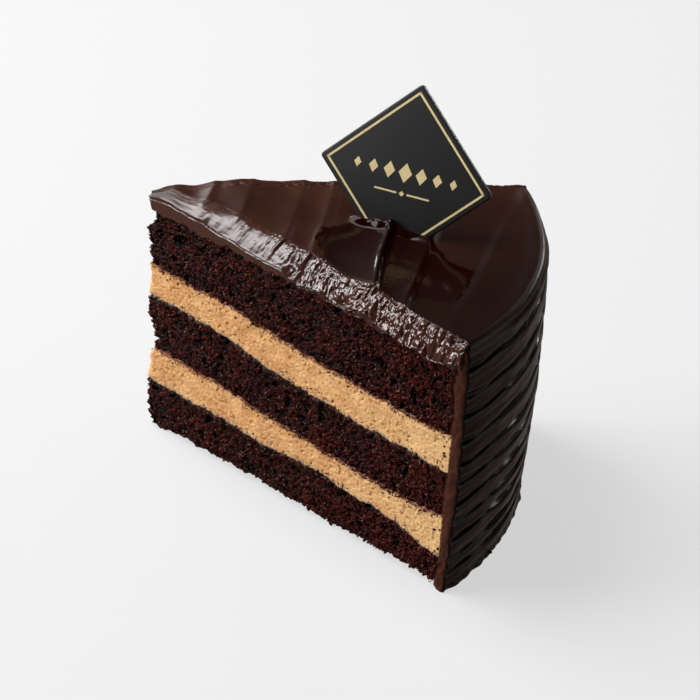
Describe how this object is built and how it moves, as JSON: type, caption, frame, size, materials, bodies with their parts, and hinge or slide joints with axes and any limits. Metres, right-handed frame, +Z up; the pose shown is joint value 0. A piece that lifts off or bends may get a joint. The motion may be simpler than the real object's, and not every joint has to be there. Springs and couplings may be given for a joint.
{
  "type": "slice of chocolate cake",
  "caption": "Wedge cut from a round chocolate layer cake, with sponge and cream layers, a combed dark ganache coat and a thin square plaque standing on its corner in the top.",
  "frame": {"origin": "middle of the base, under the centre of the bounding box", "axes": "+Z up; -X points to the tip of the slice and +X to its round coated side; -Y and +Y face the two cuts"},
  "size_m": [0.1114, 0.0954, 0.1141],
  "materials": {
    "chocolate_sponge": "open matt crumb",
    "coffee_cream": "soft satin with small pits",
    "ganache": "semi-gloss, wet in places",
    "plaque": "satin black with a pale gold line"
  },
  "bodies": {
    "root": {"sponge_bottom": "chocolate_sponge", "cream_lower": "coffee_cream", "sponge_middle": "chocolate_sponge", "cream_upper": "coffee_cream", "sponge_top": "chocolate_sponge", "ganache_coat": "ganache", "plaque": "plaque"}
  },
  "joints": []
}
